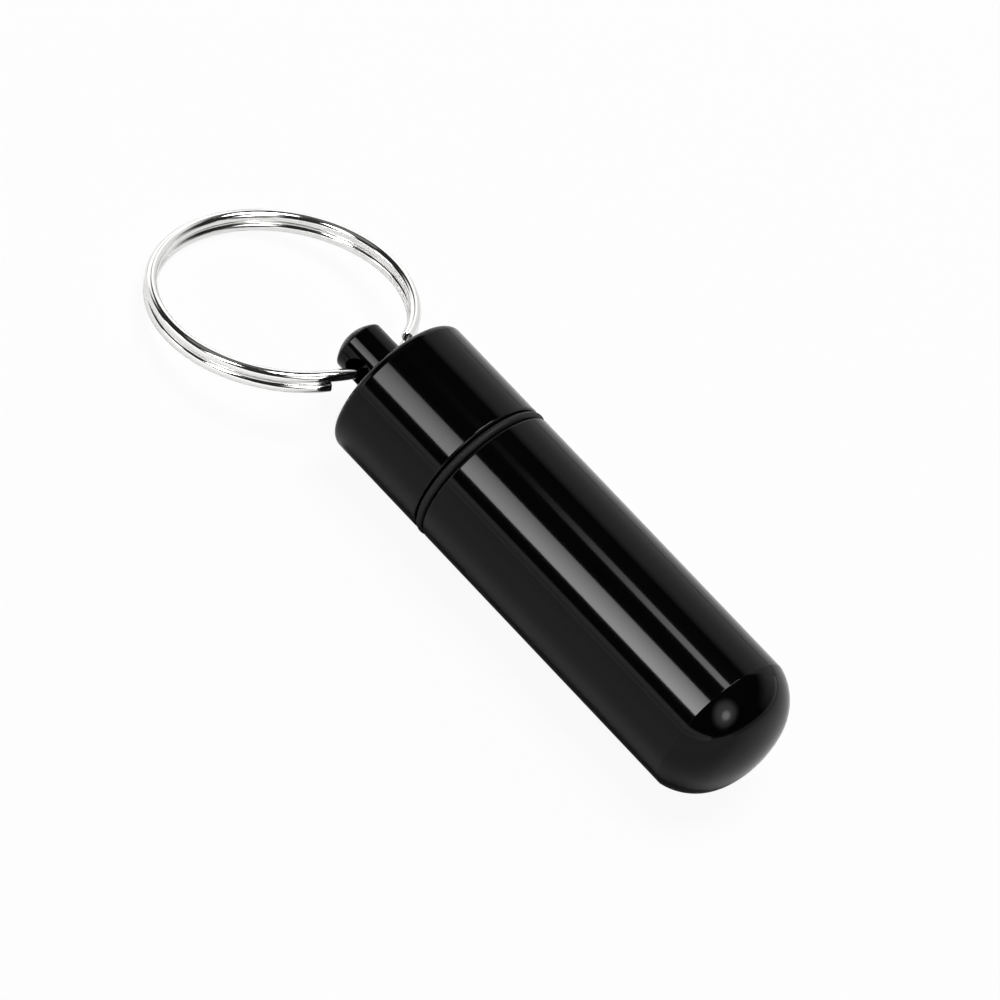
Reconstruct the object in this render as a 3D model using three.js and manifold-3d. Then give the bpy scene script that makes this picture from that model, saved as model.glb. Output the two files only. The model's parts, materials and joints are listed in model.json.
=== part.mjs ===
// Oil vial keychain: a turned aluminium vial with a domed end, a screw cap with a round knob,
// a rubber seal between the two and a two-turn split ring through the knob.
// Millimetres. The capsule lies on its side along X, dome towards +X, key ring towards -X, +Z up.
// The origin is on the floor, under the middle of the whole object.

import * as THREE from 'three';
import { mergeVertices } from 'three/addons/utils/BufferGeometryUtils.js';
import Module from 'manifold-3d';

const wasm = await Module();
wasm.setup();

// Driving dimensions of the capsule's outside
const CAPSULE_DIAMETER = 14.0;
const KNOB_DIAMETER = 4.8;
const KNOB_LENGTH = 5.64;
const KNOB_CROWN_RADIUS = 3.4;
const KNOB_EDGE_RADIUS = 0.3;
const CAP_LENGTH = 10.7;
const CAP_RIM_RADIUS = 0.75;
const EDGE_CHAMFER = 0.15;
const SEAL_GAP = 1.05;
const BARREL_LENGTH = 29.9;
const DOME_HEIGHT = 4.3;
const DOME_SHOULDER_RADIUS = 5.2;
const DOME_CREASE_ANGLE = THREE.MathUtils.degToRad(14);

// Driving dimensions of the vial's inside, its neck and the cap's cavity
const BORE_RADIUS = 4.4;
const BORE_DEPTH = 37.0;
const DRILL_POINT_DEPTH = 2.6;
const NECK_CORE_RADIUS = 5.2;
const NECK_LENGTH = 8.7;
const NECK_MOUTH_CHAMFER = 0.3;
const SEAL_LAND_RADIUS = 5.35;
const SEAL_LAND_LENGTH = 1.45;
const CAP_ROOF_THICKNESS = 2.0;
const CAP_MOUTH_RADIUS = 6.0;
const CAP_MOUTH_DEPTH = 0.9;

// Screw thread, right-handed
const THREAD_PITCH = 1.5;
const THREAD_HEIGHT = 0.55;
const THREAD_BASE_WIDTH = 0.85;
const THREAD_CREST_WIDTH = 0.35;
const THREAD_CLEARANCE = 0.15;
const THREAD_START = 1.0;
const THREAD_TURNS = 3.5;
const THREAD_RUNOUT_TURNS = 0.25;

// Seals
const SEAL_OUTER_RADIUS = 7.1;
const LINER_RADIUS = 5.7;
const LINER_THICKNESS = 0.95;
const LINER_CHAMFER = 0.15;
const TOUCH_GAP = 0.03;

// Knob hole and split ring
const HOLE_RADIUS = 1.3;
const HOLE_FROM_CAP = 2.3;
const HOLE_FLARE = 0.4;
const RING_MEAN_RADIUS = 11.45;
const RING_WIRE_WIDTH = 1.1;
const RING_WIRE_THICKNESS = 0.85;
const RING_WIRE_BEVEL = 0.26;
const RING_LAYER_PITCH = 1.3;
const RING_SEAT_SHIFT = 0.2;
const RING_STEPS_PER_TURN = 24;
const RING_STEPS = 45;

// Facets of the round surfaces
const LATHE_SIDES = 48;
const DOME_SHOULDER_STEPS = 5;
const DOME_CROWN_STEPS = 4;
const KNOB_CROWN_STEPS = 3;
const KNOB_EDGE_STEPS = 2;
const CAP_RIM_STEPS = 4;
const SEAL_BULGE_STEPS = 6;
const THREAD_STEPS_PER_TURN = 24;
const HOLE_SIDES = 24;

// Stations along the capsule's axis, from the knob's free end towards the dome
const capsuleRadius = CAPSULE_DIAMETER / 2;
const knobRadius = KNOB_DIAMETER / 2;
const capTop = KNOB_LENGTH;
const capMouth = capTop + CAP_LENGTH;
const shoulder = capMouth + SEAL_GAP;
const domeBase = shoulder + BARREL_LENGTH;
const domeTip = domeBase + DOME_HEIGHT;
const neckMouth = shoulder - NECK_LENGTH;
const capRoof = capTop + CAP_ROOF_THICKNESS;
const holeStation = capTop - HOLE_FROM_CAP;
const threadStart = neckMouth + THREAD_START;
const threadEnd = threadStart + THREAD_TURNS * THREAD_PITCH;
const threadCrestRadius = NECK_CORE_RADIUS + THREAD_HEIGHT;
const capMinorRadius = NECK_CORE_RADIUS + THREAD_CLEARANCE;
const capGrooveRadius = threadCrestRadius + THREAD_CLEARANCE;

// A flat of the many-sided barrel lies on the floor
const axisHeight = capsuleRadius * Math.cos(Math.PI / LATHE_SIDES);

const blackAnodised = new THREE.MeshStandardMaterial({ color: 0x141415, roughness: 0.25, metalness: 0.85 });
const blackRubber = new THREE.MeshStandardMaterial({ color: 0x18181a, roughness: 0.7, metalness: 0 });
const whiteLiner = new THREE.MeshStandardMaterial({ color: 0xd8d6cf, roughness: 0.6, metalness: 0 });
const platedSteel = new THREE.MeshStandardMaterial({ color: 0xc9c8c5, roughness: 0.12, metalness: 1 });

function toSolid(geometry) {
  const bare = geometry.index ? geometry.clone() : mergeVertices(geometry);
  bare.deleteAttribute('normal');
  bare.deleteAttribute('uv');
  const merged = mergeVertices(bare, 1e-4);
  const index = merged.index.array;
  const triangles = [];
  for (let i = 0; i < index.length; i += 3) {
    const [a, b, c] = [index[i], index[i + 1], index[i + 2]];
    if (a !== b && b !== c && c !== a) {
      triangles.push(a, b, c);
    }
  }
  return new wasm.Manifold(new wasm.Mesh({
    numProp: 3,
    vertProperties: new Float32Array(merged.attributes.position.array),
    triVerts: new Uint32Array(triangles),
  }));
}

function toGeometry(solid) {
  const mesh = solid.getMesh();
  const geometry = new THREE.BufferGeometry();
  geometry.setAttribute('position', new THREE.BufferAttribute(new Float32Array(mesh.vertProperties), 3));
  geometry.setIndex(new THREE.BufferAttribute(new Uint32Array(mesh.triVerts), 1));
  geometry.computeVertexNormals();
  return geometry;
}

// Turns a profile of [radius, station] points about the capsule's axis, with a flat facing down
function turned(profile) {
  const points = profile.map(([radius, station]) => new THREE.Vector2(radius, station));
  const halfFacet = Math.PI / LATHE_SIDES;
  const geometry = new THREE.LatheGeometry(points, LATHE_SIDES, halfFacet, 2 * Math.PI);
  return toSolid(geometry.rotateZ(-Math.PI / 2));
}

// Points on a circular arc of [radius, station] pairs, both ends included
function arcPoints(centreRadius, centreStation, arcRadius, fromAngle, toAngle, steps) {
  const points = [];
  for (let i = 0; i <= steps; i += 1) {
    const angle = THREE.MathUtils.lerp(fromAngle, toAngle, i / steps);
    points.push([centreRadius + arcRadius * Math.cos(angle), centreStation + arcRadius * Math.sin(angle)]);
  }
  return points;
}

// The dome: a shoulder arc that leaves the barrel at the crease, then a flatter crown arc up to the tip
function domePoints() {
  const r = DOME_SHOULDER_RADIUS;
  const centreRadius = capsuleRadius - r * Math.cos(DOME_CREASE_ANGLE);
  const centreOffset = -r * Math.sin(DOME_CREASE_ANGLE);
  const drop = centreOffset - DOME_HEIGHT;
  const crownRadius = (r * r - centreRadius * centreRadius - drop * drop) / (2 * (drop + r));
  const crownCentre = DOME_HEIGHT - crownRadius;
  const meetAngle = Math.atan2(centreOffset - crownCentre, centreRadius);
  const centre = domeBase + centreOffset;
  const shoulderArc = arcPoints(centreRadius, centre, r, DOME_CREASE_ANGLE, meetAngle, DOME_SHOULDER_STEPS);
  const crownArc = arcPoints(0, domeBase + crownCentre, crownRadius,
    meetAngle, Math.PI / 2, DOME_CROWN_STEPS);
  crownArc[DOME_CROWN_STEPS] = [0, domeTip];
  return [...shoulderArc, ...crownArc.slice(1)];
}

// The knob: a round crown whose edge is rounded into the side
function knobPoints() {
  const crown = KNOB_CROWN_RADIUS;
  const edge = KNOB_EDGE_RADIUS;
  const edgeCentreRadius = knobRadius - edge;
  const edgeCentre = crown - Math.sqrt((crown - edge) ** 2 - edgeCentreRadius ** 2);
  const meetAngle = Math.atan2(edgeCentre - crown, edgeCentreRadius);
  const crownArc = arcPoints(0, crown, crown, -Math.PI / 2, meetAngle, KNOB_CROWN_STEPS);
  const edgeArc = arcPoints(edgeCentreRadius, edgeCentre, edge, meetAngle, 0, KNOB_EDGE_STEPS);
  crownArc[0] = [0, 0];
  return [...crownArc, ...edgeArc.slice(1), [knobRadius, capTop]];
}

// A closed tube through sections that all have the same number of points
function sweptTube(sections) {
  const sides = sections[0].length;
  const index = [];
  for (let i = 0; i + 1 < sections.length; i += 1) {
    for (let k = 0; k < sides; k += 1) {
      const a = sides * i + k;
      const b = sides * i + ((k + 1) % sides);
      index.push(a, a + sides, b + sides, a, b + sides, b);
    }
  }
  const last = sides * (sections.length - 1);
  for (let k = 1; k + 1 < sides; k += 1) {
    index.push(0, k, k + 1, last, last + k + 1, last + k);
  }
  const geometry = new THREE.BufferGeometry().setFromPoints(sections.flat());
  geometry.setIndex(index);
  geometry.computeVertexNormals();
  return geometry;
}

// One helical ridge round the axis, closed at both ends. The crest sinks into the base over the run-out.
function helicalRidge(fromStation, toStation, baseRadius, crestRadius, baseWidth, crestWidth, runoutTurns) {
  const turns = (toStation - fromStation) / THREAD_PITCH;
  const steps = Math.round(turns * THREAD_STEPS_PER_TURN);
  const sections = [];
  for (let i = 0; i <= steps; i += 1) {
    const along = (turns * i) / steps;
    const angle = 2 * Math.PI * (along + (fromStation - threadStart) / THREAD_PITCH);
    const station = fromStation + along * THREAD_PITCH;
    const rise = runoutTurns > 0 ? Math.min(1, along / runoutTurns, (turns - along) / runoutTurns) : 1;
    const crest = THREE.MathUtils.lerp(baseRadius + TOUCH_GAP, crestRadius, rise);
    const section = [
      [baseRadius, -baseWidth / 2],
      [crest, -crestWidth / 2],
      [crest, crestWidth / 2],
      [baseRadius, baseWidth / 2],
    ];
    sections.push(section.map(([radius, offset]) => {
      return new THREE.Vector3(station + offset, -radius * Math.sin(angle), radius * Math.cos(angle));
    }));
  }
  return toSolid(sweptTube(sections));
}

function makeVialBody() {
  const boreEnd = neckMouth + BORE_DEPTH;
  const landEnd = shoulder - SEAL_LAND_LENGTH;
  const landTaper = SEAL_LAND_RADIUS - NECK_CORE_RADIUS;
  const profile = [
    [0, boreEnd + DRILL_POINT_DEPTH],
    [BORE_RADIUS, boreEnd],
    [BORE_RADIUS, neckMouth],
    [NECK_CORE_RADIUS - NECK_MOUTH_CHAMFER, neckMouth],
    [NECK_CORE_RADIUS, neckMouth + NECK_MOUTH_CHAMFER],
    [NECK_CORE_RADIUS, landEnd - landTaper],
    [SEAL_LAND_RADIUS, landEnd],
    [SEAL_LAND_RADIUS, shoulder],
    [capsuleRadius - EDGE_CHAMFER, shoulder],
    [capsuleRadius, shoulder + EDGE_CHAMFER],
    ...domePoints(),
  ];
  const rootRadius = NECK_CORE_RADIUS - THREAD_HEIGHT / 2;
  const thread = helicalRidge(threadStart, threadEnd, rootRadius, threadCrestRadius,
    THREAD_BASE_WIDTH, THREAD_CREST_WIDTH, THREAD_RUNOUT_TURNS);
  return toGeometry(turned(profile).add(thread));
}

function makeCap() {
  const rimRadius = CAP_RIM_RADIUS;
  const rim = arcPoints(capsuleRadius - rimRadius, capTop + rimRadius, rimRadius,
    -Math.PI / 2, 0, CAP_RIM_STEPS);
  const profile = [
    ...knobPoints(),
    ...rim,
    [capsuleRadius, capMouth - EDGE_CHAMFER],
    [capsuleRadius - EDGE_CHAMFER, capMouth],
    [CAP_MOUTH_RADIUS, capMouth],
    [CAP_MOUTH_RADIUS, capMouth - CAP_MOUTH_DEPTH],
    [capMinorRadius, capMouth - CAP_MOUTH_DEPTH],
    [capMinorRadius, neckMouth + TOUCH_GAP],
    [capGrooveRadius, neckMouth - THREAD_CLEARANCE],
    [capGrooveRadius, capRoof],
    [0, capRoof],
  ];
  const grooveStart = threadStart - THREAD_PITCH / 2;
  const grooveEnd = capMouth + THREAD_PITCH / 2;
  const insideRadius = capMinorRadius - THREAD_HEIGHT / 2;
  const groove = helicalRidge(grooveStart, grooveEnd, insideRadius, capGrooveRadius,
    THREAD_BASE_WIDTH + 2 * THREAD_CLEARANCE, THREAD_CREST_WIDTH + 2 * THREAD_CLEARANCE, 0);
  return toGeometry(turned(profile).subtract(groove).subtract(makeKnobHole()));
}

// The cross-hole runs along Y and widens towards both mouths
function makeKnobHole() {
  const flareStart = knobRadius - HOLE_FLARE;
  const flareEnd = knobRadius + HOLE_FLARE;
  const flareRadius = HOLE_RADIUS + 2 * HOLE_FLARE;
  const profile = [
    [0, -flareEnd],
    [flareRadius, -flareEnd],
    [HOLE_RADIUS, -flareStart],
    [HOLE_RADIUS, flareStart],
    [flareRadius, flareEnd],
    [0, flareEnd],
  ].map(([radius, along]) => new THREE.Vector2(radius, along));
  const geometry = new THREE.LatheGeometry(profile, HOLE_SIDES);
  return toSolid(geometry.translate(holeStation, 0, 0));
}

// The seal is squeezed to a band that stands a little proud, with a rounded outer edge.
// The floor presses it flush with the barrel where the capsule lies on it.
function makeSeal() {
  const low = capMouth + TOUCH_GAP;
  const high = shoulder - TOUCH_GAP;
  const middle = (low + high) / 2;
  const half = (high - low) / 2;
  const inner = SEAL_LAND_RADIUS + TOUCH_GAP;
  const bulgeCentre = SEAL_OUTER_RADIUS - half;
  const bulge = arcPoints(bulgeCentre, middle, half, -Math.PI / 2, Math.PI / 2, SEAL_BULGE_STEPS);
  const band = turned([[inner, low], ...bulge, [inner, high], [inner, low]]);
  const floor = new THREE.BoxGeometry(CAPSULE_DIAMETER, CAPSULE_DIAMETER, CAPSULE_DIAMETER);
  floor.translate(middle, 0, -axisHeight - CAPSULE_DIAMETER / 2);
  return toGeometry(band.subtract(toSolid(floor)));
}

function makeLiner() {
  const low = capRoof + TOUCH_GAP;
  const high = low + LINER_THICKNESS;
  return toGeometry(turned([
    [0, low],
    [LINER_RADIUS - LINER_CHAMFER, low],
    [LINER_RADIUS, low + LINER_CHAMFER],
    [LINER_RADIUS, high - LINER_CHAMFER],
    [LINER_RADIUS - LINER_CHAMFER, high],
    [0, high],
  ]));
}

// Six-sided wire section, as [outward, upward] offsets
function wireSection() {
  const w = RING_WIRE_WIDTH / 2;
  const t = RING_WIRE_THICKNESS / 2;
  const flat = w - RING_WIRE_BEVEL;
  return [[w, 0], [flat, t], [-flat, t], [-w, 0], [-flat, -t], [flat, -t]];
}

// The wire runs nearly two turns. It passes the knob once, at the middle of its length, where it steps
// from the upper layer down to the lower one. Turn angle 0 is at the knob.
function ringSections() {
  const stepAngle = (2 * Math.PI) / RING_STEPS_PER_TURN;
  const joggleAngle = stepAngle;
  const sections = [];
  for (let i = 0; i <= RING_STEPS; i += 1) {
    const angle = (i - RING_STEPS / 2) * stepAngle;
    const layer = THREE.MathUtils.clamp(angle / joggleAngle, -1, 1);
    const lift = (-layer * RING_LAYER_PITCH) / 2;
    sections.push(wireSection().map(([outward, upward]) => {
      const radius = RING_MEAN_RADIUS + outward;
      const x = RING_SEAT_SHIFT - RING_MEAN_RADIUS + radius * Math.cos(angle);
      return new THREE.Vector3(x, radius * Math.sin(angle), lift + upward);
    }));
  }
  return sections;
}

// Least distance between points of the wire that lie more than half a turn apart along it
function leastRingGap(sections) {
  let least = Infinity;
  for (let i = 0; i < sections.length; i += 1) {
    for (let j = i + RING_STEPS_PER_TURN / 2; j < sections.length; j += 1) {
      for (const p of sections[i]) {
        for (const q of sections[j]) {
          least = Math.min(least, p.distanceTo(q));
        }
      }
    }
  }
  return least;
}

// The ring droops from the knob until its far edge lies on the floor
function ringDroop() {
  const reach = 2 * RING_MEAN_RADIUS - RING_SEAT_SHIFT + RING_WIRE_WIDTH / 2 - RING_WIRE_BEVEL;
  const below = (RING_LAYER_PITCH + RING_WIRE_THICKNESS) / 2;
  return Math.asin((axisHeight - TOUCH_GAP) / Math.hypot(reach, below)) - Math.atan2(below, reach);
}

function addPiece(parent, name, geometry, material) {
  const mesh = new THREE.Mesh(geometry, material);
  mesh.name = name;
  parent.add(mesh);
}

const keychain = new THREE.Group();
const capsule = new THREE.Group();
keychain.add(capsule);
addPiece(capsule, 'vial_body', makeVialBody(), blackAnodised);
addPiece(capsule, 'o_ring', makeSeal(), blackRubber);
addPiece(capsule, 'cap', makeCap(), blackAnodised);
addPiece(capsule, 'cap_liner', makeLiner(), whiteLiner);

const ringPivot = new THREE.Group();
ringPivot.position.x = holeStation;
ringPivot.rotation.y = -ringDroop();
capsule.add(ringPivot);
const sections = ringSections();
addPiece(ringPivot, 'split_ring', sweptTube(sections), platedSteel);
console.log(`split ring least gap to itself: ${leastRingGap(sections).toFixed(2)} mm`);

// Centre the whole object over the origin
capsule.position.z = axisHeight;
const extent = new THREE.Box3().setFromObject(keychain, true);
capsule.position.x = -(extent.min.x + extent.max.x) / 2;

export default keychain;
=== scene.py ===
"""The looks of the oil vial keychain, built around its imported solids.

The capsule lies along X, dome towards +X and key ring towards -X, and +Z is up. Shapes are worked out in
millimetres and become metres when their mesh is made.
"""

import json
import math
from collections import namedtuple

import bpy
from mathutils import Matrix, Vector


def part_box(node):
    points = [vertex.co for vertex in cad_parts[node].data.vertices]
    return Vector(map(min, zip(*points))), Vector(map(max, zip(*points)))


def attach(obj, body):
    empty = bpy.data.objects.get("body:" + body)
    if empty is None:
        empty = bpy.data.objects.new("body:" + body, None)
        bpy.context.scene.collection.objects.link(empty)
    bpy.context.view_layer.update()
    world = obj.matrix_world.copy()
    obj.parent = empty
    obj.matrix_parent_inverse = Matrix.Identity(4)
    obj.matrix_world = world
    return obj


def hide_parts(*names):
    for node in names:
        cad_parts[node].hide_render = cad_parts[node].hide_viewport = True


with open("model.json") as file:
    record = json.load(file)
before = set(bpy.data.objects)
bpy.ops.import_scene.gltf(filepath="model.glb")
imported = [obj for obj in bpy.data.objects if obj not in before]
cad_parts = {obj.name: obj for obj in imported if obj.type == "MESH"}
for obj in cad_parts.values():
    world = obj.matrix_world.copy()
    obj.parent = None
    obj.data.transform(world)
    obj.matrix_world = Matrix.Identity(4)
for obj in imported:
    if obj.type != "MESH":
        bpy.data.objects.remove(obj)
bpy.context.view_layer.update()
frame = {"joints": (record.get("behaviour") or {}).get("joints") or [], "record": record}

MM = 0.001
LENGTHWISE = Vector((1, 0, 0))
CROSSWISE = Vector((0, 1, 0))


def node_box(name):
    """Lowest and highest corner of a solid, in millimetres."""
    low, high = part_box(name)
    return low / MM, high / MM


def named(rows, name):
    """The row of that name in one of the record's lists."""
    return next(row for row in rows if row["name"] == name)


# Places that the solids give
vial_low, vial_high = node_box("vial_body")
cap_low, cap_high = node_box("cap")
seal_low, seal_high = node_box("o_ring")
liner_low, liner_high = node_box("cap_liner")
AXIS_HEIGHT = (vial_low.z + vial_high.z) / 2
BARREL_RADIUS = (vial_high.z - vial_low.z) / 2
KNOB_END = cap_low.x
CAP_MOUTH = cap_high.x
NECK_MOUTH = vial_low.x
DOME_TIP = vial_high.x
TOUCH_GAP = seal_low.x - CAP_MOUTH
SHOULDER = seal_high.x + TOUCH_GAP
CAP_ROOF = liner_low.x - TOUCH_GAP
HOLE_PLACE = Vector(named(frame["joints"], "ring_swing")["pos_m"]) / MM
RING_MOUNT = named(frame["record"]["mounts"], "key_ring")
RING_CENTRE = Vector(RING_MOUNT["pos_m"]) / MM
RING_NORMAL = Vector(RING_MOUNT["axis"])

# Outside of the capsule
KNOB_RADIUS = 2.4
KNOB_LENGTH = 5.64
KNOB_CROWN = 3.4
KNOB_EDGE = 0.3
KNOB_FOOT = 0.12
KNOB_STEPS = 16
CAP_RIM_RADIUS = 0.75
LIP_EDGE = 0.2
DOME_HEIGHT = 4.3
DOME_SHOULDER_RADIUS = 5.2
DOME_CREASE = math.radians(14)
CREASE_ROUNDING = 0.12
DOME_STEPS = 24

# Inside of the vial and the cap
BORE_RADIUS = 4.4
BORE_DEPTH = 37.0
DRILL_POINT = 2.6
NECK_RADIUS = 5.2
NECK_EDGE = 0.25
LAND_RADIUS = 5.35
LAND_LENGTH = 1.45
CAP_MOUTH_RADIUS = 6.0
CAP_MOUTH_DEPTH = 0.9
CAP_MINOR_RADIUS = 5.35
CAP_GROOVE_RADIUS = 5.9

# Screw thread
THREAD_PITCH = 1.5
THREAD_START = NECK_MOUTH + 1.0
THREAD_TURNS = 3.5
THREAD_RUNOUT = 0.25
THREAD_STEP = 0.0625
THREAD_MARGIN = 0.5
NECK_THREAD_HEIGHT = 0.55
NECK_THREAD_BASE = 0.69
NECK_THREAD_CREST = 0.35
CAP_THREAD_BASE = 0.98
CAP_THREAD_CREST = 0.65

# Seals
SEAL_RADIUS = 7.06
SEAL_BULGE = 0.36
SEAL_SHOULDER_RADIUS = 6.2
SEAL_BULGE_STEPS = 12
LINER_EDGE = 0.15

# Cross-hole in the knob
HOLE_RADIUS = 1.3
HOLE_FLARE = 0.7
HOLE_SIDES = 64
FLARE_STEPS = 10

# Split ring
RING_RADIUS = 11.36
WIRE_WIDTH = 1.05
WIRE_THICKNESS = 1.0
WIRE_SQUARENESS = 2.1
WIRE_SIDES = 36
LAYER_PITCH = 1.02
RING_HALF_TURN = math.radians(336)
JOGGLE = math.radians(28)
RING_STEPS = 300
RING_END_BEVEL = 0.06
SAG_AT_KNOB = 0.3
SAG_IN_FRONT = 0.04

# Fineness of the turned meshes
LATHE_SIDES = 128
ROUND_STEPS = 8
WORN_EDGE = 0.3
GUARD = 0.04
SHARP_ANGLE = math.radians(32)

# Camera, in metres, with its lens in millimetres
CAMERA_TARGET = Vector((4.178, -1.585, 8.184)) * MM
CAMERA_AZIMUTH = math.radians(26.127)
CAMERA_ELEVATION = math.radians(44.591)
CAMERA_ROLL = math.radians(27.435)
CAMERA_DISTANCE = 0.78
CAMERA_LENS = 334.9

# Floor with a low cove, in metres
FLOOR_RADIUS = 1.35
COVE_RADIUS = 0.15
COVE_STEPS = 24
FLOOR_DROP = 0.00002

# White of the floor: to the camera, and in reflections in front of the object and behind it, where the lower
# white behind is painted shade
FLOOR_GLOW = 0.94
GLOW_IN_FRONT = 0.95
GLOW_BEHIND = 0.45
GLOW_FRONT_PLACE = -0.02
GLOW_BACK_PLACE = 0.1

# Long patch round the object where the reflected white fades, a painted shadow of the object, in metres
# across it
PAINTED_SHADE_SHAPE = (0.14, 1.0, 0.0)
PAINTED_SHADE_START = 0.007
PAINTED_SHADE_END = 0.03

# Finishes, each with its darkest and its lightest colour and its smoothest and its roughest places
DYE_COLOURS = ((0.0008, 0.0008, 0.0009), (0.0016, 0.0016, 0.0017))
WORN_COLOUR = (0.05, 0.05, 0.052)
MOST_WORN = 0.5
OXIDE_ROUGHNESS = (0.055, 0.085)
TURNING_ROUGHNESS = 0.03
OXIDE_IOR = 1.25
RUBBER_COLOURS = ((0.003, 0.003, 0.0033), (0.008, 0.008, 0.0085))
RUBBER_ROUGHNESS = (0.45, 0.65)
RUBBER_SPECULAR = 0.25
LINER_COLOURS = ((0.64, 0.62, 0.57), (0.78, 0.77, 0.74))
LINER_ROUGHNESS = (0.5, 0.7)
PLATE_COLOURS = ((0.88, 0.875, 0.86), (0.96, 0.955, 0.945))
PLATE_ROUGHNESS = (0.05, 0.09)
DRAWN_ROUGHNESS = (0.0, 0.04)
DRAWN_STRETCH = (0.25, 14.0, 1.0)
CUT_COLOURS = ((0.03, 0.03, 0.032), (0.11, 0.11, 0.11))
CUT_ROUGHNESS = (0.4, 0.6)
PAPER_COLOURS = ((0.89, 0.89, 0.89), (0.91, 0.91, 0.91))
PAPER_ROUGHNESS = 0.9

# Lights, with distances in metres
PANEL_DISTANCE = 0.9
LEFT_PANEL_AIM = Vector((-0.972, 0, 0.233))
DOME_LAMP_AIM = Vector((0.72, -0.26, 0.643)).normalized()
LAMP_FLAT_SHARE = 1 / 3
WORLD_GREY = 0.02

ProfilePoint = namedtuple("ProfilePoint", "station radius wear threaded")

# A panel's light goes from the low share at one edge to the high one at a share of the way to the other
Ramp = namedtuple("Ramp", "low high reach")
EVEN = Ramp(1.0, 1.0, 1.0)


def clamp(value, low=0.0, high=1.0):
    return max(low, min(high, value))


def profile_point(station, radius, wear=0.0, threaded=False):
    return ProfilePoint(station, radius, wear, threaded)


def rounded(corners):
    """Profile through (station, radius, rounding) corners, each rounded by its own amount.

    A guard point just beyond each end of a rounding keeps smooth shading off the straight stretches.
    Small roundings are worn, wide ones aren't.
    """
    points = []
    for i, (station, radius, rounding) in enumerate(corners):
        if rounding == 0:
            points.append(profile_point(station, radius))
            continue
        here = Vector((station, radius))
        before = Vector(corners[i - 1][:2]) - here
        after = Vector(corners[i + 1][:2]) - here
        half_turn = before.angle(after) / 2
        reach = rounding / math.tan(half_turn)
        inward = (before.normalized() + after.normalized()).normalized()
        centre = here + inward * rounding / math.sin(half_turn)
        start = here + before.normalized() * reach - centre
        end = here + after.normalized() * reach - centre
        if before.length > reach + 2 * GUARD:
            points.append(profile_point(*(here + before.normalized() * (reach + GUARD))))
        sweep = end.angle_signed(start)
        most_wear = 1.0 if rounding < WORN_EDGE else 0.0
        for k in range(ROUND_STEPS + 1):
            share = k / ROUND_STEPS
            on_arc = centre + Matrix.Rotation(sweep * share, 2) @ start
            points.append(profile_point(*on_arc, wear=most_wear * math.sin(math.pi * share)))
        if after.length > reach + 2 * GUARD:
            points.append(profile_point(*(here + after.normalized() * (reach + GUARD))))
    return points


def threaded_run(from_station, to_station, radius):
    """Close-set profile points that carry a thread."""
    steps = max(1, round(abs(to_station - from_station) / THREAD_STEP))
    stations = [from_station + (to_station - from_station) * i / steps for i in range(steps + 1)]
    return [profile_point(station, radius, threaded=True) for station in stations]


def thread_rise(station, turn, base, crest, has_ends):
    """Share of the thread's height at a station, with turn the angle in turns round the axis."""
    along = turn + round((station - THREAD_START) / THREAD_PITCH - turn)
    offset = abs(station - THREAD_START - along * THREAD_PITCH)
    shape = clamp((base / 2 - offset) / ((base - crest) / 2))
    if has_ends:
        shape *= clamp(min(along, THREAD_TURNS - along) / THREAD_RUNOUT)
    return shape


def new_piece(name, points, faces):
    """A mesh object from points in millimetres, smooth with sharp corners."""
    mesh = bpy.data.meshes.new(name)
    mesh.from_pydata([point * MM for point in points], [], faces)
    finish_shading(mesh)
    piece = bpy.data.objects.new(name, mesh)
    bpy.context.scene.collection.objects.link(piece)
    return piece


def finish_shading(mesh):
    """Smooth shading, with the corners kept sharp."""
    mesh.validate()
    mesh.shade_smooth()
    mesh.set_sharp_from_angle(angle=SHARP_ANGLE)


def around_axis(station, radius, turn):
    """Point at that station and radius, with turn 0 straight up and growing towards -Y."""
    angle = 2 * math.pi * turn
    return Vector((station, -radius * math.sin(angle), AXIS_HEIGHT + radius * math.cos(angle)))


def lathe(name, profile, thread=None):
    """Turns a profile about the capsule's axis. It starts and ends on the axis, or closes on itself.

    thread(station, turn) is added to the radius of the points marked as threaded.
    """
    on_axis = profile[0].radius == 0
    rows = []
    points = []
    wear = []
    for p in profile:
        turns = [0.0] if p.radius == 0 else [i / LATHE_SIDES for i in range(LATHE_SIDES)]
        rows.append(range(len(points), len(points) + len(turns)))
        for turn in turns:
            radius = p.radius + (thread(p.station, turn) if p.threaded else 0.0)
            points.append(around_axis(p.station, radius, turn))
            wear.append(p.wear)
    faces = []
    bands = len(rows) - 1 if on_axis else len(rows)
    for j in range(bands):
        row, following = rows[j], rows[(j + 1) % len(rows)]
        for i in range(LATHE_SIDES):
            nxt = (i + 1) % LATHE_SIDES
            if len(row) == 1:
                faces.append((row[0], following[nxt], following[i]))
            elif len(following) == 1:
                faces.append((row[i], row[nxt], following[0]))
            else:
                faces.append((row[i], row[nxt], following[nxt], following[i]))
    piece = new_piece(name, points, faces)
    attribute = piece.data.attributes.new("wear", "FLOAT", "POINT")
    attribute.data.foreach_set("value", wear)
    return piece


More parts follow.
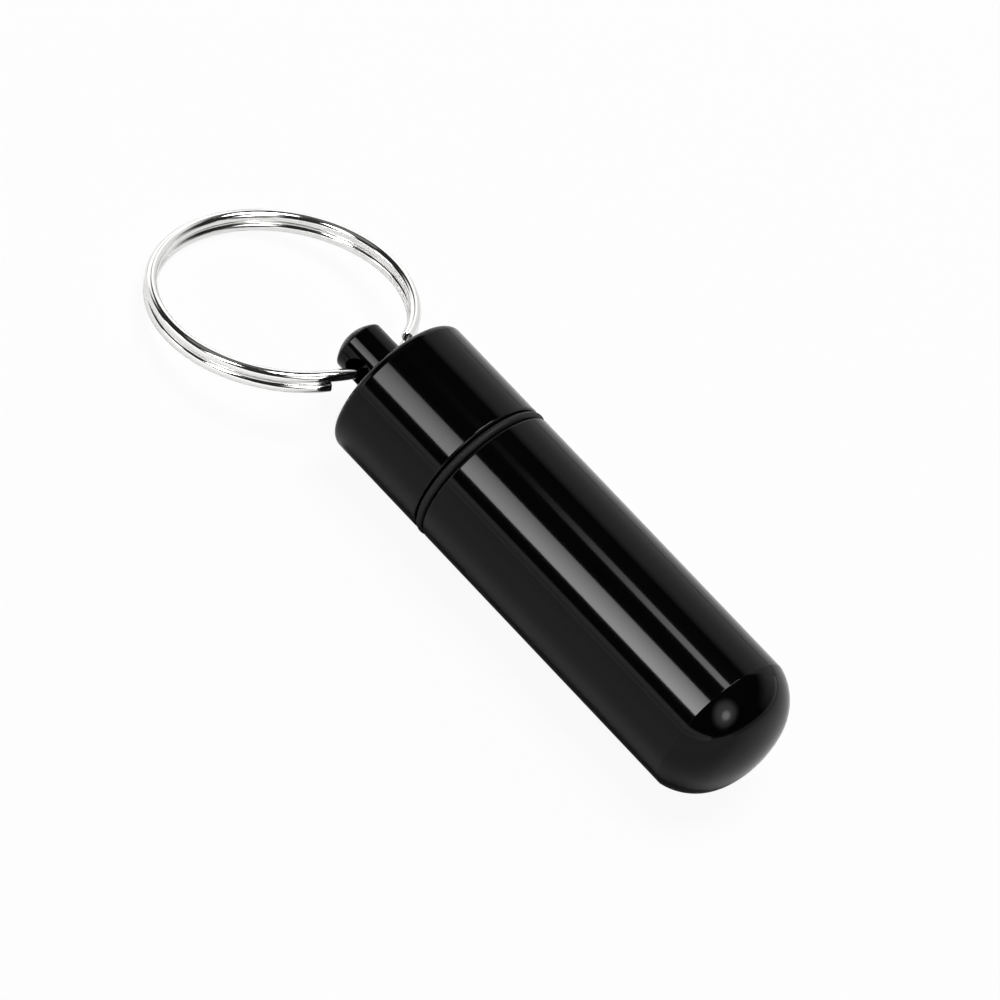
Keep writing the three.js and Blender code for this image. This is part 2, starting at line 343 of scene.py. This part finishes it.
def dome_corners():
    """The dome: a shoulder arc that leaves the barrel at a crease, then a flatter crown up to the tip."""
    base = DOME_TIP - DOME_HEIGHT
    r = DOME_SHOULDER_RADIUS
    centre_radius = BARREL_RADIUS - r * math.cos(DOME_CREASE)
    centre_offset = -r * math.sin(DOME_CREASE)
    drop = centre_offset - DOME_HEIGHT
    crown = (r * r - centre_radius * centre_radius - drop * drop) / (2 * (drop + r))
    crown_centre = DOME_HEIGHT - crown
    meet = math.atan2(centre_offset - crown_centre, centre_radius)
    corners = [(base, BARREL_RADIUS, CREASE_ROUNDING)]
    for i in range(1, DOME_STEPS + 1):
        angle = DOME_CREASE + (meet - DOME_CREASE) * i / DOME_STEPS
        station = base + centre_offset + r * math.sin(angle)
        corners.append((station, centre_radius + r * math.cos(angle), 0))
    for i in range(1, DOME_STEPS):
        angle = meet + (math.pi / 2 - meet) * i / DOME_STEPS
        station = base + crown_centre + crown * math.sin(angle)
        corners.append((station, crown * math.cos(angle), 0))
    return [*corners, (DOME_TIP, 0, 0)]


def make_vial_body():
    bore_end = NECK_MOUTH + BORE_DEPTH
    thread_low = THREAD_START - THREAD_MARGIN
    thread_high = THREAD_START + THREAD_TURNS * THREAD_PITCH + THREAD_MARGIN
    land = SHOULDER - LAND_LENGTH
    inside = rounded([
        (bore_end + DRILL_POINT, 0, 0),
        (bore_end, BORE_RADIUS, 0),
        (NECK_MOUTH, BORE_RADIUS, NECK_EDGE / 2),
        (NECK_MOUTH, NECK_RADIUS, NECK_EDGE),
        (thread_low, NECK_RADIUS, 0),
    ])
    outside = rounded([
        (thread_high, NECK_RADIUS, 0),
        (land, NECK_RADIUS, 0),
        (land, LAND_RADIUS, 0),
        (SHOULDER, LAND_RADIUS, 0),
        (SHOULDER, BARREL_RADIUS, LIP_EDGE),
        *dome_corners(),
    ])
    profile = inside[:-1] + threaded_run(thread_low, thread_high, NECK_RADIUS) + outside[1:]

    def ridge(station, turn):
        return NECK_THREAD_HEIGHT * thread_rise(station, turn, NECK_THREAD_BASE, NECK_THREAD_CREST, True)

    return lathe("vial_barrel", profile, ridge)


def knob_points():
    """The knob from its tip: a round crown whose edge is rounded into the side."""
    edge_radius = KNOB_RADIUS - KNOB_EDGE
    meet = math.asin(edge_radius / (KNOB_CROWN - KNOB_EDGE))
    crown_centre = KNOB_END + KNOB_CROWN
    edge_centre = crown_centre - (KNOB_CROWN - KNOB_EDGE) * math.cos(meet)
    points = [profile_point(KNOB_END, 0)]
    for i in range(1, KNOB_STEPS + 1):
        angle = meet * i / KNOB_STEPS
        station = crown_centre - KNOB_CROWN * math.cos(angle)
        points.append(profile_point(station, KNOB_CROWN * math.sin(angle)))
    for i in range(1, ROUND_STEPS + 1):
        share = i / ROUND_STEPS
        angle = meet + (math.pi / 2 - meet) * share
        radius = edge_radius + KNOB_EDGE * math.sin(angle)
        station = edge_centre - KNOB_EDGE * math.cos(angle)
        points.append(profile_point(station, radius, wear=math.sin(math.pi * share)))
    return points


def make_cap():
    knob = knob_points()
    cap_top = KNOB_END + KNOB_LENGTH
    thread_low = NECK_MOUTH + TOUCH_GAP
    thread_high = CAP_MOUTH - CAP_MOUTH_DEPTH
    outside = rounded([
        (knob[-1].station + GUARD, KNOB_RADIUS, 0),
        (cap_top, KNOB_RADIUS, KNOB_FOOT),
        (cap_top, BARREL_RADIUS, CAP_RIM_RADIUS),
        (CAP_MOUTH, BARREL_RADIUS, LIP_EDGE),
        (CAP_MOUTH, CAP_MOUTH_RADIUS, LIP_EDGE),
        (thread_high, CAP_MOUTH_RADIUS, 0),
    ])
    roof = rounded([
        (thread_low - 2 * TOUCH_GAP, CAP_GROOVE_RADIUS, 0),
        (CAP_ROOF, CAP_GROOVE_RADIUS, 0),
        (CAP_ROOF, 0, 0),
    ])
    profile = knob + outside + threaded_run(thread_high, thread_low, CAP_MINOR_RADIUS) + roof
    depth = CAP_GROOVE_RADIUS - CAP_MINOR_RADIUS

    def groove(station, turn):
        return depth * thread_rise(station, turn, CAP_THREAD_BASE, CAP_THREAD_CREST, False)

    cap = lathe("screw_cap", profile, groove)
    cut_away(cap, make_hole_cutter())
    return cap


def make_hole_cutter():
    """Solid of the knob's cross-hole along Y, which widens in a round flare to both mouths."""
    flare_start = KNOB_RADIUS - HOLE_FLARE / 2
    outer = []
    for i in range(FLARE_STEPS + 1):
        rise = HOLE_FLARE * i / FLARE_STEPS
        outer.append((flare_start + rise, HOLE_RADIUS + HOLE_FLARE - math.sqrt(HOLE_FLARE**2 - rise**2)))
    profile = [(-along, radius) for along, radius in reversed(outer)] + outer
    points = []
    for along, radius in profile:
        for i in range(HOLE_SIDES):
            angle = 2 * math.pi * i / HOLE_SIDES
            points.append(HOLE_PLACE + Vector((radius * math.cos(angle), along, radius * math.sin(angle))))
    faces = []
    for j in range(len(profile) - 1):
        for i in range(HOLE_SIDES):
            a = j * HOLE_SIDES + i
            b = j * HOLE_SIDES + (i + 1) % HOLE_SIDES
            faces.append((a, a + HOLE_SIDES, b + HOLE_SIDES, b))
    faces.append(tuple(range(HOLE_SIDES)))
    last = (len(profile) - 1) * HOLE_SIDES
    faces.append(tuple(reversed(range(last, last + HOLE_SIDES))))
    return new_piece("hole_cutter", points, faces)


def cut_away(piece, cutter):
    """Subtracts the cutter from the piece's mesh and removes the cutter."""
    cut = piece.modifiers.new("cut", "BOOLEAN")
    cut.operation = "DIFFERENCE"
    cut.solver = "EXACT"
    cut.object = cutter
    evaluated = piece.evaluated_get(bpy.context.evaluated_depsgraph_get())
    mesh = bpy.data.meshes.new_from_object(evaluated)
    piece.modifiers.clear()
    piece.data = mesh
    finish_shading(mesh)
    bpy.data.objects.remove(cutter)


def make_seal():
    """Rubber ring squeezed to a band with a round outer edge, pressed flat by the floor underneath."""
    middle = (seal_low.x + seal_high.x) / 2
    inner = LAND_RADIUS + TOUCH_GAP
    profile = [profile_point(seal_low.x, inner), profile_point(seal_low.x, SEAL_SHOULDER_RADIUS)]
    for i in range(SEAL_BULGE_STEPS + 1):
        angle = math.pi * (i / SEAL_BULGE_STEPS - 0.5)
        radius = SEAL_RADIUS - SEAL_BULGE + SEAL_BULGE * math.cos(angle)
        profile.append(profile_point(middle + SEAL_BULGE * math.sin(angle), radius))
    profile += [profile_point(seal_high.x, SEAL_SHOULDER_RADIUS), profile_point(seal_high.x, inner)]
    seal = lathe("seal_ring", profile)
    for vertex in seal.data.vertices:
        vertex.co.z = max(0.0, vertex.co.z)
    return seal


def make_liner():
    return lathe("sealing_disc", rounded([
        (liner_low.x, 0, 0),
        (liner_low.x, liner_high.y, LINER_EDGE),
        (liner_high.x, liner_high.y, LINER_EDGE),
        (liner_high.x, 0, 0),
    ]))


def wire_section():
    """Roundish section of the ring's wire, as (outward, upward) offsets."""
    points = []
    for i in range(WIRE_SIDES):
        angle = 2 * math.pi * i / WIRE_SIDES
        outward = bulged(math.cos(angle)) * WIRE_WIDTH / 2
        points.append((outward, bulged(math.sin(angle)) * WIRE_THICKNESS / 2))
    return points


def bulged(value):
    """Pushes a circle's coordinate out towards a square's."""
    return math.copysign(abs(value) ** (2 / WIRE_SQUARENESS), value)


def make_split_ring():
    """Nearly two turns of wire. It passes the knob once, where it steps from one layer to the other.

    The ring rests low in the knob's hole and leans a little to the front.
    """
    section = wire_section()
    sides = len(section)
    towards_knob = Vector((RING_NORMAL.z, 0, -RING_NORMAL.x))
    bevel_turn = RING_END_BEVEL / RING_RADIUS
    inner_turn = RING_HALF_TURN - bevel_turn
    stops = [-RING_HALF_TURN]
    stops += [inner_turn * (2 * i / RING_STEPS - 1) for i in range(RING_STEPS + 1)]
    stops.append(RING_HALF_TURN)
    points = []
    for stop in stops:
        share = clamp(stop / JOGGLE, -1, 1)
        lift = -(share * (3 - share * share) / 2) * LAYER_PITCH / 2
        lift += SAG_IN_FRONT * math.sin(stop) - SAG_AT_KNOB * (1 + math.cos(stop)) / 2
        is_end = abs(stop) == RING_HALF_TURN
        shrink = 1 - 2 * RING_END_BEVEL / WIRE_THICKNESS if is_end else 1
        for outward, upward in section:
            radius = RING_RADIUS + outward * shrink
            in_plane = towards_knob * radius * math.cos(stop) + CROSSWISE * radius * math.sin(stop)
            points.append(RING_CENTRE + in_plane + RING_NORMAL * (lift + upward * shrink))
    faces = []
    for j in range(len(stops) - 1):
        for k in range(sides):
            a = j * sides + k
            b = j * sides + (k + 1) % sides
            faces.append((a, b, b + sides, a + sides))
    last = (len(stops) - 1) * sides
    faces.append(tuple(reversed(range(sides))))
    faces.append(tuple(range(last, last + sides)))
    ring = new_piece("key_ring", points, faces)
    for cut_end in ring.data.polygons[-2:]:
        cut_end.material_index = 1
    add_wire_uv(ring.data, stops, section)
    return ring


def add_wire_uv(mesh, stops, section):
    """UV with u along the wire and v round its section, both in millimetres."""
    layer = mesh.uv_layers.new(name="wire")
    sides = len(section)
    perimeter = 2 * (WIRE_WIDTH + WIRE_THICKNESS)
    for polygon in mesh.polygons:
        columns = [mesh.loops[i].vertex_index % sides for i in polygon.loop_indices]
        wraps = max(columns) - min(columns) == sides - 1 and len(columns) == 4
        for i, column in zip(polygon.loop_indices, columns):
            row = mesh.loops[i].vertex_index // sides
            turned = column + sides if wraps and column == 0 else column
            layer.data[i].uv = (stops[row] * RING_RADIUS, turned / sides * perimeter)


def shader(name):
    """New node material, with its tree and its main shader."""
    material = bpy.data.materials.new(name)
    material.use_nodes = True
    return material, material.node_tree, material.node_tree.nodes["Principled BSDF"]


def add_node(tree, kind, inputs=None, **settings):
    """A node with its inputs set by socket name. An input may be another node's output socket."""
    made = tree.nodes.new(kind)
    for key, value in settings.items():
        setattr(made, key, value)
    for key, value in (inputs or {}).items():
        if isinstance(value, bpy.types.NodeSocket):
            tree.links.new(value, made.inputs[key])
        else:
            made.inputs[key].default_value = value
    return made


def math_node(tree, operation, first, second=0.0):
    return add_node(tree, "ShaderNodeMath", {0: first, 1: second}, operation=operation).outputs[0]


def ranged(tree, value, low, high):
    """A 0 to 1 value taken to another range."""
    return add_node(tree, "ShaderNodeMapRange", {"Value": value, "To Min": low, "To Max": high}).outputs[0]


def mixed_colour(tree, share, first, second):
    """Mix of two colours by share, each one written out or another node's output socket."""
    made = add_node(tree, "ShaderNodeMix", data_type="RGBA")
    tree.links.new(share, made.inputs["Factor"])
    sockets = [socket for socket in made.inputs if socket.type == "RGBA"]
    for socket, colour in zip(sockets, (first, second)):
        if isinstance(colour, bpy.types.NodeSocket):
            tree.links.new(colour, socket)
        else:
            socket.default_value = (*colour, 1)
    return next(socket for socket in made.outputs if socket.type == "RGBA")


def noise(tree, place, scale, detail):
    """Noise at a place, from 0 to 1."""
    inputs = {"Vector": place, "Scale": scale, "Detail": detail}
    return add_node(tree, "ShaderNodeTexNoise", inputs).outputs["Fac"]


def set_bump(tree, main, height, distance):
    """Relief from a 0 to 1 height that stands for that distance, in metres."""
    bump = add_node(tree, "ShaderNodeBump", {"Height": height, "Distance": distance})
    tree.links.new(bump.outputs[0], main.inputs["Normal"])


def object_place(tree):
    return add_node(tree, "ShaderNodeTexCoord").outputs["Object"]


def lathe_coordinate(tree):
    """The place, and a value that grows along a turned surface, so that its noise runs in rings.

    The value is station plus radius, in metres.
    """
    place = object_place(tree)
    to_axis = (0, 0, -AXIS_HEIGHT * MM)
    centred = add_node(tree, "ShaderNodeVectorMath", {0: place, 1: to_axis})
    parts = add_node(tree, "ShaderNodeSeparateXYZ", {0: centred.outputs[0]}).outputs
    flat = add_node(tree, "ShaderNodeCombineXYZ", {"Y": parts["Y"], "Z": parts["Z"]})
    radius = add_node(tree, "ShaderNodeVectorMath", {0: flat.outputs[0]}, operation="LENGTH")
    return place, math_node(tree, "ADD", parts["X"], radius.outputs["Value"])


def anodised():
    """Black anodised aluminium: a clear glossy oxide over a black dye, with fine turning rings."""
    material, tree, main = shader("black_anodised")
    place, along = lathe_coordinate(tree)
    rings = add_node(tree, "ShaderNodeTexNoise", {"W": along, "Scale": 9000.0, "Detail": 3.0},
                     noise_dimensions="1D").outputs["Fac"]
    handling = noise(tree, place, scale=420.0, detail=5.0)
    specks = noise(tree, place, scale=6000.0, detail=2.0)
    wear = add_node(tree, "ShaderNodeAttribute", attribute_name="wear").outputs["Fac"]
    rubbed = math_node(tree, "MULTIPLY", wear, ranged(tree, handling, 0.0, MOST_WORN))
    dye = mixed_colour(tree, handling, *DYE_COLOURS)
    tree.links.new(mixed_colour(tree, rubbed, dye, WORN_COLOUR), main.inputs["Base Color"])
    grain = math_node(tree, "MULTIPLY", rings, TURNING_ROUGHNESS)
    roughness = math_node(tree, "ADD", grain, ranged(tree, specks, *OXIDE_ROUGHNESS))
    tree.links.new(roughness, main.inputs["Roughness"])
    set_bump(tree, main, rings, distance=1.5e-7)
    main.inputs["IOR"].default_value = OXIDE_IOR
    return material


def rubber():
    """Satin black rubber, slightly mottled and finely pored."""
    material, tree, main = shader("black_rubber")
    place = object_place(tree)
    mottle = noise(tree, place, scale=900.0, detail=4.0)
    pores = noise(tree, place, scale=7000.0, detail=3.0)
    tree.links.new(mixed_colour(tree, mottle, *RUBBER_COLOURS), main.inputs["Base Color"])
    tree.links.new(ranged(tree, mottle, *RUBBER_ROUGHNESS), main.inputs["Roughness"])
    set_bump(tree, main, pores, distance=4e-6)
    main.inputs["Specular IOR Level"].default_value = RUBBER_SPECULAR
    return material


def liner_plastic():
    """Soft white foamed plastic with fine cells."""
    material, tree, main = shader("white_liner")
    place = object_place(tree)
    mottle = noise(tree, place, scale=500.0, detail=4.0)
    cells = add_node(tree, "ShaderNodeTexVoronoi", {"Vector": place, "Scale": 5000.0})
    tree.links.new(mixed_colour(tree, mottle, *LINER_COLOURS), main.inputs["Base Color"])
    tree.links.new(ranged(tree, mottle, *LINER_ROUGHNESS), main.inputs["Roughness"])
    set_bump(tree, main, cells.outputs["Distance"], distance=1.5e-5)
    return material


def plated_steel():
    """Bright nickel plate over drawn wire: fine lines along the wire, slight tint and haze."""
    material, tree, main = shader("plated_steel")
    on_wire = add_node(tree, "ShaderNodeTexCoord").outputs["UV"]
    stretched = add_node(tree, "ShaderNodeMapping", {"Vector": on_wire, "Scale": DRAWN_STRETCH})
    lines = noise(tree, stretched.outputs[0], scale=1.0, detail=3.0)
    haze = noise(tree, object_place(tree), scale=500.0, detail=4.0)
    tree.links.new(mixed_colour(tree, haze, *PLATE_COLOURS), main.inputs["Base Color"])
    main.inputs["Metallic"].default_value = 1.0
    grain = ranged(tree, lines, *DRAWN_ROUGHNESS)
    roughness = math_node(tree, "ADD", grain, ranged(tree, haze, *PLATE_ROUGHNESS))
    tree.links.new(roughness, main.inputs["Roughness"])
    set_bump(tree, main, lines, distance=1.5e-6)
    return material


def cut_steel():
    """Sheared end of the wire, where the plating stops."""
    material, tree, main = shader("cut_steel")
    tears = noise(tree, object_place(tree), scale=9000.0, detail=3.0)
    tree.links.new(mixed_colour(tree, tears, *CUT_COLOURS), main.inputs["Base Color"])
    tree.links.new(ranged(tree, tears, *CUT_ROUGHNESS), main.inputs["Roughness"])
    main.inputs["Metallic"].default_value = 1.0
    return material


def floor_white():
    """White paper that also shows as white to the camera and in reflections, and still takes a shadow.

    The reflected white fades towards the object as a painted shadow of it on the floor beside it, and is
    dimmer behind it as painted shade.
    """
    material, tree, main = shader("floor_white")
    place = object_place(tree)
    fibres = noise(tree, place, scale=60.0, detail=4.0)
    tree.links.new(mixed_colour(tree, fibres, *PAPER_COLOURS), main.inputs["Base Color"])
    main.inputs["Roughness"].default_value = PAPER_ROUGHNESS
    main.inputs["Specular IOR Level"].default_value = 0.0
    path = add_node(tree, "ShaderNodeLightPath").outputs
    reflected = math_node(tree, "ADD", path["Is Glossy Ray"], path["Is Transmission Ray"])
    # Painted shadow: the reflected white fades to nothing close to the object
    squeezed = add_node(tree, "ShaderNodeVectorMath", {0: place, 1: PAINTED_SHADE_SHAPE}, operation="MULTIPLY")
    away = add_node(tree, "ShaderNodeVectorMath", {0: squeezed.outputs[0]}, operation="LENGTH")
    growth = {"Value": away.outputs["Value"], "From Min": PAINTED_SHADE_START, "From Max": PAINTED_SHADE_END}
    outside_painted_shadow = add_node(tree, "ShaderNodeMapRange", growth).outputs[0]
    # Painted shade: the reflected white dims from in front of the object to behind it
    depth = add_node(tree, "ShaderNodeSeparateXYZ", {0: place}).outputs["Y"]
    grading = {"Value": depth, "From Min": GLOW_FRONT_PLACE, "From Max": GLOW_BACK_PLACE,
               "To Min": GLOW_IN_FRONT, "To Max": GLOW_BEHIND}
    front_to_back_painted_shade = add_node(tree, "ShaderNodeMapRange", grading).outputs[0]
    reflected_glow = math_node(tree, "MULTIPLY", outside_painted_shadow, front_to_back_painted_shade)
    share = math_node(tree, "ADD", math_node(tree, "MULTIPLY", path["Is Camera Ray"], FLOOR_GLOW),
                      math_node(tree, "MULTIPLY", reflected, reflected_glow))
    glow = add_node(tree, "ShaderNodeEmission", {"Color": (1, 1, 1, 1), "Strength": 1.0})
    both = add_node(tree, "ShaderNodeMixShader", {0: share, 1: main.outputs[0], 2: glow.outputs[0]})
    tree.links.new(both.outputs[0], tree.nodes["Material Output"].inputs["Surface"])
    return material


def make_floor():
    """Round white floor that sweeps up in a low cove, all in metres."""
    profile = [(0.0, 0.0), (FLOOR_RADIUS, 0.0)]
    for i in range(1, COVE_STEPS + 1):
        angle = math.pi / 2 * i / COVE_STEPS
        profile.append((FLOOR_RADIUS + COVE_RADIUS * math.sin(angle), COVE_RADIUS * (1 - math.cos(angle))))
    points = [Vector((0, 0, -FLOOR_DROP))]
    for radius, height in profile[1:]:
        for i in range(LATHE_SIDES):
            angle = 2 * math.pi * i / LATHE_SIDES
            points.append(Vector((radius * math.cos(angle), radius * math.sin(angle), height - FLOOR_DROP)))
    faces = []
    for i in range(LATHE_SIDES):
        faces.append((0, 1 + i, 1 + (i + 1) % LATHE_SIDES))
    for j in range(len(profile) - 2):
        for i in range(LATHE_SIDES):
            a = 1 + j * LATHE_SIDES + i
            b = 1 + j * LATHE_SIDES + (i + 1) % LATHE_SIDES
            faces.append((a, a + LATHE_SIDES, b + LATHE_SIDES, b))
    floor = new_piece("floor", [point / MM for point in points], faces)
    floor.data.materials.append(floor_white())


def soft_panel(name, outward, along, distance, spread, start, stop, radiance):
    """A soft panel at a distance from the capsule's middle, in metres, that faces back along outward.

    It runs from start to stop in the direction along. Its width is spread, in degrees as the capsule sees it.
    """
    data = bpy.data.lights.new(name, "AREA")
    data.shape = "RECTANGLE"
    data.size = stop - start
    data.size_y = 2 * distance * math.tan(math.radians(spread) / 2)
    data.energy = radiance * math.pi * data.size * data.size_y
    panel = bpy.data.objects.new(name, data)
    place = outward * distance + along * (start + stop) / 2 + Vector((0, 0, AXIS_HEIGHT * MM))
    turn = Matrix((along, outward.cross(along), outward)).transposed()
    panel.matrix_world = Matrix.Translation(place) @ turn.to_4x4()
    panel.visible_camera = False
    bpy.context.scene.collection.objects.link(panel)
    return panel


def panel_along(name, degrees, spread, start, stop, radiance, distance=PANEL_DISTANCE):
    """A soft panel that runs along the capsule.

    It stands so many degrees up from the front horizon, over the top and on to the back.
    """
    angle = math.radians(degrees)
    outward = Vector((0, -math.cos(angle), math.sin(angle)))
    return soft_panel(name, outward, LENGTHWISE, distance, spread, start, stop, radiance)


def panel_place(panel):
    """The panel's node tree, with the two coordinates over its face, each 0 to 1."""
    panel.data.use_nodes = True
    tree = panel.data.node_tree
    spot = add_node(tree, "ShaderNodeNewGeometry").outputs["Parametric"]
    parts = add_node(tree, "ShaderNodeSeparateXYZ", {0: spot}).outputs
    return tree, parts["X"], parts["Y"]


def set_strength(tree, strength):
    tree.links.new(strength, tree.nodes["Emission"].inputs["Strength"])


def fade(panel, along=EVEN, across=EVEN):
    """Lets a panel's light change along and across its face."""
    tree, *places = panel_place(panel)
    shares = []
    for place, ramp in zip(places, (along, across)):
        limits = {"Value": place, "From Max": ramp.reach, "To Min": ramp.low, "To Max": ramp.high}
        shares.append(add_node(tree, "ShaderNodeMapRange", limits).outputs[0])
    set_strength(tree, math_node(tree, "MULTIPLY", *shares))


def fade_round(panel, core, core_place, halo):
    """Turns a panel into a round lamp: a bright core, in a halo with a share of the light.

    The core is a share of the panel's width, and its place across the panel is a share as well.
    """
    tree, along, across = panel_place(panel)
    offsets = add_node(tree, "ShaderNodeCombineXYZ", {"X": along, "Y": across})
    shares = []
    for middle, edge, light in ((core_place, core / 2, 1 - halo), (0.5, 0.5, halo)):
        radius = add_node(tree, "ShaderNodeVectorMath", {0: offsets.outputs[0], 1: (0.5, middle, 0)},
                          operation="DISTANCE").outputs["Value"]
        limits = {"Value": radius, "From Min": edge * LAMP_FLAT_SHARE, "From Max": edge,
                  "To Min": light, "To Max": 0.0}
        falling = add_node(tree, "ShaderNodeMapRange", limits, interpolation_type="SMOOTHSTEP")
        shares.append(falling.outputs[0])
    set_strength(tree, math_node(tree, "ADD", *shares))


def make_lights():
    """Soft panels round the capsule. The key panel and the dome lamp only show in gloss, as cards do."""
    key = panel_along("key_panel", 46.2, spread=28.1, start=-0.42, stop=-0.17, radiance=20.5)
    key.visible_diffuse = False
    fade(key, along=Ramp(0.1, 1.55, 1.0), across=Ramp(1.0, 0.44, 1.0))
    thin = panel_along("thin_overhead", 91.3, spread=9, start=-0.152, stop=-0.08, radiance=11.0,
                       distance=0.5)
    fade(thin, along=Ramp(0.0, 1.0, 0.53))
    panel_along("overhead_fill", 95.75, spread=31.5, start=-0.15, stop=0.14, radiance=11.7)
    back = panel_along("back_panel", 148.75, spread=51.5, start=-0.42, stop=0.15, radiance=0.75)
    fade(back, across=Ramp(0.3, 1.0, 0.2))
    back_right = panel_along("back_right_panel", 158, spread=40, start=0.15, stop=1.2, radiance=0.8)
    fade(back_right, along=Ramp(1.0, 0.0, 1.0), across=Ramp(0.0, 1.0, 0.45))
    panel_along("back_left_panel", 156, spread=44, start=-0.9, stop=-0.42, radiance=1.1)
    panel_along("overhead_left_panel", 88, spread=50, start=-0.95, stop=-0.45, radiance=0.17)
    left = soft_panel("left_panel", LEFT_PANEL_AIM, CROSSWISE, PANEL_DISTANCE,
                      spread=27, start=0.0, stop=0.8, radiance=1.1)
    fade(left, along=Ramp(0.2, 1.0, 0.2))
    panel_along("front_left_panel", 16, spread=24, start=-1.6, stop=-0.75, radiance=1.5)
    front = panel_along("front_fill", 9, spread=12.5, start=-0.7, stop=1.2, radiance=1.45, distance=0.7)
    fade(front, across=Ramp(0.1, 1.0, 0.6))
    level = LENGTHWISE.cross(DOME_LAMP_AIM).normalized()
    dome_lamp = soft_panel("dome_lamp", DOME_LAMP_AIM, level, PANEL_DISTANCE,
                           spread=56, start=-0.33, stop=0.33, radiance=10.0)
    dome_lamp.visible_diffuse = False
    fade_round(dome_lamp, core=0.36, core_place=0.57, halo=0.25)
    world = bpy.context.scene.world or bpy.data.worlds.new("studio")
    bpy.context.scene.world = world
    world.use_nodes = True
    background = world.node_tree.nodes["Background"]
    background.inputs["Color"].default_value = (WORLD_GREY, WORLD_GREY, WORLD_GREY, 1)


def make_camera():
    """Camera at the photograph's angle, turned about its own line of sight by the roll."""
    back = Vector((
        math.sin(CAMERA_AZIMUTH) * math.cos(CAMERA_ELEVATION),
        -math.cos(CAMERA_AZIMUTH) * math.cos(CAMERA_ELEVATION),
        math.sin(CAMERA_ELEVATION),
    ))
    level_right = Vector((math.cos(CAMERA_AZIMUTH), math.sin(CAMERA_AZIMUTH), 0))
    level_up = back.cross(level_right)
    right = level_right * math.cos(CAMERA_ROLL) + level_up * math.sin(CAMERA_ROLL)
    up = level_up * math.cos(CAMERA_ROLL) - level_right * math.sin(CAMERA_ROLL)
    data = bpy.data.cameras.new("camera")
    data.lens = CAMERA_LENS
    camera = bpy.data.objects.new("camera", data)
    turn = Matrix((right, up, back)).transposed().to_4x4()
    camera.matrix_world = Matrix.Translation(CAMERA_TARGET + back * CAMERA_DISTANCE) @ turn
    bpy.context.scene.collection.objects.link(camera)
    bpy.context.scene.camera = camera


def dress(piece, materials, body, node):
    """Gives a piece its finishes and its body, and hides the solid that it stands for."""
    piece.data.materials.clear()
    for material in materials:
        piece.data.materials.append(material)
    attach(piece, body)
    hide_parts(node)


make_camera()
make_floor()
make_lights()
black = anodised()
dress(make_vial_body(), [black], "vial", "vial_body")
dress(make_seal(), [rubber()], "vial", "o_ring")
dress(make_cap(), [black], "cap", "cap")
dress(make_liner(), [liner_plastic()], "liner", "cap_liner")
dress(make_split_ring(), [plated_steel(), cut_steel()], "ring", "split_ring")

bpy.context.scene.view_settings.view_transform = "Standard"
